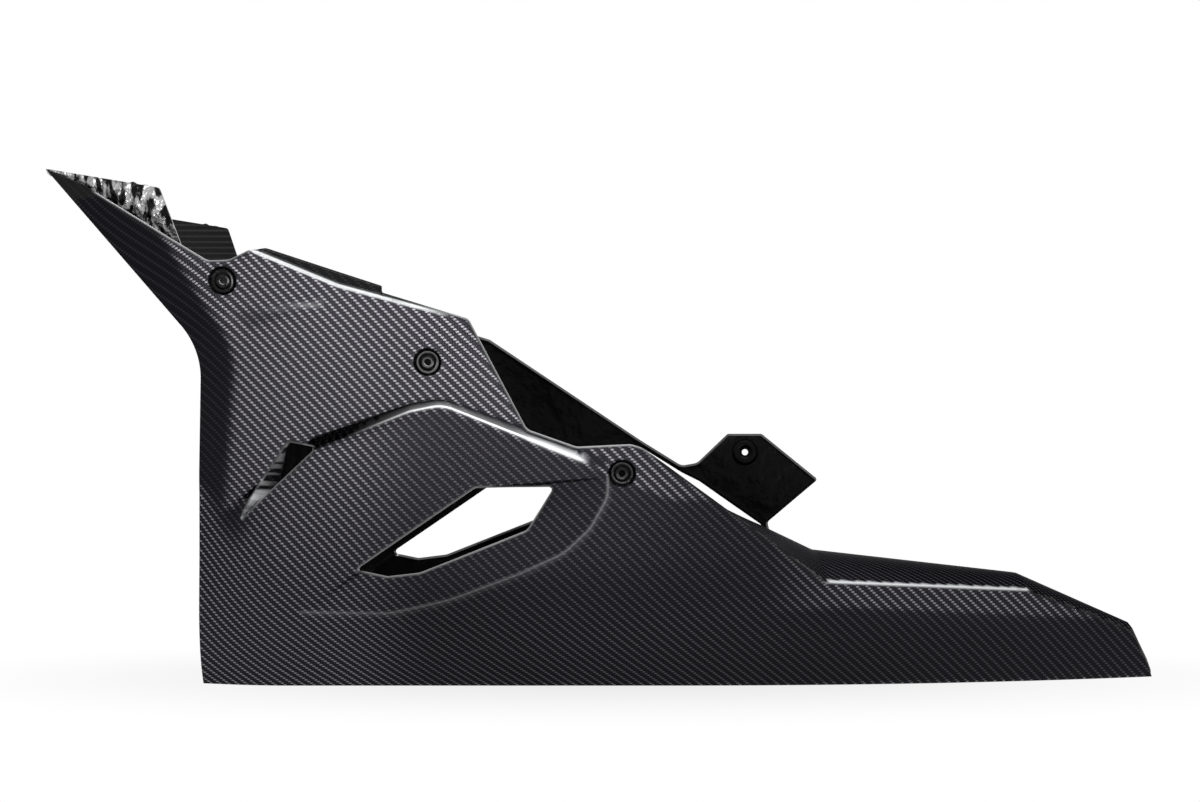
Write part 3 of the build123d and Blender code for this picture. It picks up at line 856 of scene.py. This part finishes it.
def number(tree, kind, a, b=None):
    """Output of one arithmetic node; a and b are sockets or constants."""
    node = tree.nodes.new("ShaderNodeMath")
    node.operation = kind
    for socket, value in zip(node.inputs, (a, b)):
        if isinstance(value, (int, float)):
            socket.default_value = value
        elif value is not None:
            tree.links.new(value, socket)
    return node.outputs[0]


def either(tree, share, a, b):
    """Number a where the share is 1, and b where it is 0."""
    rest = number(tree, "SUBTRACT", 1.0, share)
    return number(tree, "ADD", number(tree, "MULTIPLY", a, share), number(tree, "MULTIPLY", b, rest))


def mixed(tree, share, a, b):
    """Colour between a and b, each a socket or a constant."""
    node = tree.nodes.new("ShaderNodeMix")
    node.data_type = "RGBA"
    tree.links.new(share, node.inputs["Factor"])
    for title, value in (("A", a), ("B", b)):
        if isinstance(value, tuple):
            node.inputs[title].default_value = value
        else:
            tree.links.new(value, node.inputs[title])
    return node.outputs["Result"]


def attribute(tree, title):
    """Share painted on the mesh under a title."""
    node = tree.nodes.new("ShaderNodeAttribute")
    node.attribute_name = title
    return node.outputs["Fac"]


def noise(tree, scale, detail, stretch=(1.0, 1.0, 1.0)):
    """Fractal noise in the object's own metres."""
    where = tree.nodes.new("ShaderNodeTexCoord")
    place = tree.nodes.new("ShaderNodeMapping")
    place.inputs["Scale"].default_value = stretch
    texture = tree.nodes.new("ShaderNodeTexNoise")
    texture.inputs["Scale"].default_value = scale
    texture.inputs["Detail"].default_value = detail
    tree.links.new(where.outputs["Object"], place.inputs["Vector"])
    tree.links.new(place.outputs["Vector"], texture.inputs["Vector"])
    return texture.outputs["Fac"]


def shader(name, tone, roughness, coat=0.0):
    """Material with its node tree and its main shader."""
    material = bpy.data.materials.new(name)
    material.use_nodes = True
    main = material.node_tree.nodes["Principled BSDF"]
    main.inputs["Base Color"].default_value = (tone, tone, tone * BLUE_CAST, 1.0)
    main.inputs["Roughness"].default_value = roughness
    main.inputs["Coat Weight"].default_value = coat
    main.inputs["Coat Roughness"].default_value = COAT_ROUGHNESS
    return material, material.node_tree, main


def bumped(tree, main, height, strength, distance):
    """Give a shader a bumpy face; the distance is in metres."""
    bump = tree.nodes.new("ShaderNodeBump")
    bump.inputs["Strength"].default_value = strength
    bump.inputs["Distance"].default_value = distance
    tree.links.new(height, bump.inputs["Height"])
    tree.links.new(bump.outputs["Normal"], main.inputs["Normal"])


def half_wave(tree, along):
    """Rise and fall of a tow as a share goes from 0 to 1."""
    return number(tree, "SINE", number(tree, "MULTIPLY", along, math.pi))


def twill_carbon():
    """Clear-coated two-by-two twill: weft floats catch the light, warp floats stay dark."""
    material, tree, main = shader("twill_carbon", tone=0.05, roughness=0.55, coat=1.0)
    main.inputs["Metallic"].default_value = 1.0
    main.inputs["Specular Tint"].default_value = TOW_GRAZING_TONE
    main.inputs["Anisotropic"].default_value = TOW_STREAK
    main.inputs["Anisotropic Rotation"].default_value = QUARTER_TURN
    cloth = tree.nodes.new("ShaderNodeUVMap")
    cloth.uv_map = "cloth"
    split = tree.nodes.new("ShaderNodeSeparateXYZ")
    tree.links.new(cloth.outputs["UV"], split.inputs["Vector"])
    u, v = split.outputs["X"], split.outputs["Y"]
    across_u = number(tree, "FRACT", u)
    across_v = number(tree, "FRACT", v)
    cells = number(tree, "ADD", number(tree, "FLOOR", u), number(tree, "FLOOR", v))
    phase = number(tree, "FLOORED_MODULO", cells, 2.0 * FLOAT_TOWS)
    warp = number(tree, "LESS_THAN", phase, FLOAT_TOWS - 0.5)
    along_warp = number(tree, "ADD", phase, across_v)
    along_weft = number(tree, "SUBTRACT", number(tree, "ADD", phase, across_u), FLOAT_TOWS)
    along = number(tree, "MULTIPLY", either(tree, warp, along_warp, along_weft), 1.0 / FLOAT_TOWS)
    crown = half_wave(tree, along)
    middle = half_wave(tree, either(tree, warp, across_u, across_v))
    spot = number(tree, "MULTIPLY", number(tree, "POWER", crown, FLOAT_SHARPNESS), middle)
    share = either(tree, warp, WARP_SHARE, 1.0)
    # Painted shade: the plain share darkens the ground and hides the bright tows, and the dim share dims
    # them; the plain share also glosses the coat
    plain = attribute(tree, "plain")
    tree.links.new(number(tree, "MULTIPLY", plain, PLAIN_COAT), main.inputs["Coat Weight"])
    hidden = number(tree, "MAXIMUM", number(tree, "MULTIPLY", plain, PLAIN_HIDES), attribute(tree, "dim"))
    woven = number(tree, "SUBTRACT", 1.0, hidden)
    bright = number(tree, "MULTIPLY", number(tree, "MULTIPLY", spot, share), woven)
    ground = mixed(tree, plain, GROUND_TONE, PLAIN_PAINTED_SHADE_TONE)
    cloth_tone = mixed(tree, bright, ground, TOW_TONE)
    # Painted highlight: a bright reflective tone along creases and lips
    tone = mixed(tree, attribute(tree, "painted_highlight"), cloth_tone, PAINTED_HIGHLIGHT_TONE)
    tree.links.new(tone, main.inputs["Base Color"])
    bumped(tree, main, crown, strength=0.3, distance=0.00015)
    return material


def edge_finish():
    """Clear-coated black of the cut edges."""
    material, tree, main = shader("gloss_edge", tone=0.006, roughness=0.3, coat=1.0)
    bumped(tree, main, noise(tree, scale=90.0, detail=2.0), strength=0.1, distance=0.001)
    return material


def inside_finish():
    """Bare, wavy resin on the inside."""
    material, tree, main = shader("raw_inside", tone=0.004, roughness=0.26)
    main.inputs["Specular IOR Level"].default_value = INSIDE_SPECULAR
    bumped(tree, main, noise(tree, scale=90.0, detail=3.0), strength=0.5, distance=0.002)
    return material


def crinkled_face_with_painted_glints():
    """Wrinkled resin face, bumped, with painted glints: upright patches of bright reflective colour between
    black ones.
    """
    material, tree, main = shader("crinkled_laminate", tone=0.03, roughness=0.4)
    main.inputs["Metallic"].default_value = 1.0
    painted_glints = tree.nodes.new("ShaderNodeMapRange")
    for title, value in PAINTED_GLINT_RANGE.items():
        painted_glints.inputs[title].default_value = value
    tree.links.new(noise(tree, scale=1.0, detail=3.0, stretch=PAINTED_GLINT_STRETCH), painted_glints.inputs["Value"])
    tree.links.new(painted_glints.outputs["Result"], main.inputs["Base Color"])
    bumped(tree, main, noise(tree, scale=110.0, detail=2.0), strength=0.8, distance=0.004)
    return material


def ribbed_finish():
    """Dark laminate with faint ribs, on the back of a horn's return."""
    material, tree, main = shader("ribbed_laminate", tone=0.008, roughness=0.35)
    main.inputs["Specular IOR Level"].default_value = RIB_SPECULAR
    where = tree.nodes.new("ShaderNodeTexCoord")
    bands = tree.nodes.new("ShaderNodeTexWave")
    bands.bands_direction = "Z"
    bands.inputs["Scale"].default_value = RIB_SCALE
    tree.links.new(where.outputs["Object"], bands.inputs["Vector"])
    bumped(tree, main, bands.outputs["Fac"], strength=0.5, distance=0.001)
    return material


def split_by_ray(tree, seen, unseen, output):
    """One shader for rays from the camera and those that gloss and glass send on, another for the rest."""
    path = tree.nodes.new("ShaderNodeLightPath")
    sent_on = number(tree, "MAXIMUM", path.outputs["Is Glossy Ray"], path.outputs["Is Transmission Ray"])
    mix = tree.nodes.new("ShaderNodeMixShader")
    tree.links.new(number(tree, "MAXIMUM", path.outputs["Is Camera Ray"], sent_on), mix.inputs["Fac"])
    tree.links.new(unseen, mix.inputs[1])
    tree.links.new(seen, mix.inputs[2])
    tree.links.new(mix.outputs["Shader"], output.inputs["Surface"])


def white_floor():
    """White where it is seen, but for a painted soft shadow round the pan, and a plain pale grey otherwise.
    """
    material = bpy.data.materials.new("floor")
    material.use_nodes = True
    tree = material.node_tree
    main = tree.nodes["Principled BSDF"]
    main.inputs["Base Color"].default_value = FLOOR_TONE
    main.inputs["Roughness"].default_value = FLOOR_ROUGHNESS
    # Painted soft shadow: a spherical gradient round the pan greys the white
    where = tree.nodes.new("ShaderNodeTexCoord")
    place = tree.nodes.new("ShaderNodeMapping")
    place.vector_type = "TEXTURE"
    place.inputs["Scale"].default_value = PAINTED_SHADOW_REACH
    tree.links.new(where.outputs["Object"], place.inputs["Vector"])
    fade = tree.nodes.new("ShaderNodeTexGradient")
    fade.gradient_type = "SPHERICAL"
    tree.links.new(place.outputs["Vector"], fade.inputs["Vector"])
    shadow = tree.nodes.new("ShaderNodeMapRange")
    shadow.interpolation_type = "SMOOTHSTEP"
    shadow.inputs["To Min"].default_value = 1.0
    shadow.inputs["To Max"].default_value = PAINTED_SHADOW_TONE
    tree.links.new(fade.outputs["Fac"], shadow.inputs["Value"])
    glow = tree.nodes.new("ShaderNodeEmission")
    tree.links.new(shadow.outputs["Result"], glow.inputs["Strength"])
    split_by_ray(tree, glow.outputs["Emission"], main.outputs["BSDF"], tree.nodes["Material Output"])
    return material


def white_world():
    """White where it is seen, a dim studio otherwise."""
    world = bpy.data.worlds.new("studio")
    world.use_nodes = True
    tree = world.node_tree
    dim = tree.nodes["Background"]
    dim.inputs["Color"].default_value = STUDIO_TONE
    dim.inputs["Strength"].default_value = STUDIO_STRENGTH
    white = tree.nodes.new("ShaderNodeBackground")
    white.inputs["Color"].default_value = WHITE
    split_by_ray(tree, white.outputs["Background"], dim.outputs["Background"], tree.nodes["World Output"])
    return world


def soft_light(name, place, target, size, power, spread):
    """Rectangular lamp that the camera does not see."""
    data = bpy.data.lights.new(name, "AREA")
    data.spread = math.radians(spread)
    data.shape = "RECTANGLE"
    data.size, data.size_y = size
    data.energy = power
    lamp = bpy.data.objects.new(name, data)
    lamp.location = place
    lamp.rotation_euler = (Vector(target) - Vector(place)).to_track_quat("-Z", "Y").to_euler()
    lamp.visible_camera = False
    bpy.context.scene.collection.objects.link(lamp)


left = side_sheet(LEFT_REAR, [WINDOW, VENT], UPPER_SEATS + [EAR_SEAT], LEFT_DECK_X)
right = side_sheet(RIGHT_REAR, [WINDOW, VENT, EXHAUST], UPPER_SEATS + [TAB_SEAT], RIGHT_DECK_X)
edge = edge_finish()
shell = thickened(made_object(
    "belly_pan",
    [as_side(left, -1.0, down_hull), as_side(right, 1.0, down_hull), deck_sheet(left, right),
     foot_strips(left, right), vent_wall(left, -1.0), vent_wall(right, 1.0)],
    [twill_carbon(), inside_finish(), edge]))

horn_return = return_sheet()
return_finishes = [crinkled_face_with_painted_glints(), ribbed_finish(), edge]
pieces = [shell]
for name, sign in (("left_return", -1.0), ("right_return", 1.0)):
    made = made_object(name, [as_side(horn_return, sign, in_side_view)], return_finishes)
    pieces.append(thickened(made, even=False))
select_only(pieces)
bpy.ops.object.join()
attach(shell, "root")
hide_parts("belly_pan_shell")

bpy.ops.mesh.primitive_plane_add(size=FLOOR_SIZE, location=(0.0, 0.0, 0.0))
floor = bpy.context.object
floor.name = "floor"
floor.data.materials.append(white_floor())

for lamp in LAMPS:
    soft_light(*lamp)

scene = bpy.context.scene
scene.world = white_world()
scene.view_settings.view_transform = "Standard"
camera = bpy.data.objects.new("camera", bpy.data.cameras.new("camera"))
scene.collection.objects.link(camera)
camera.location = (np.array(CAMERA_PLACE) + CENTRING) * MM
camera.rotation_euler = (math.pi / 2.0, 0.0, 0.0)
camera.data.lens = CAMERA_LENS
camera.data.sensor_width = CAMERA_SENSOR
camera.data.shift_y = CAMERA_RISE
scene.camera = camera
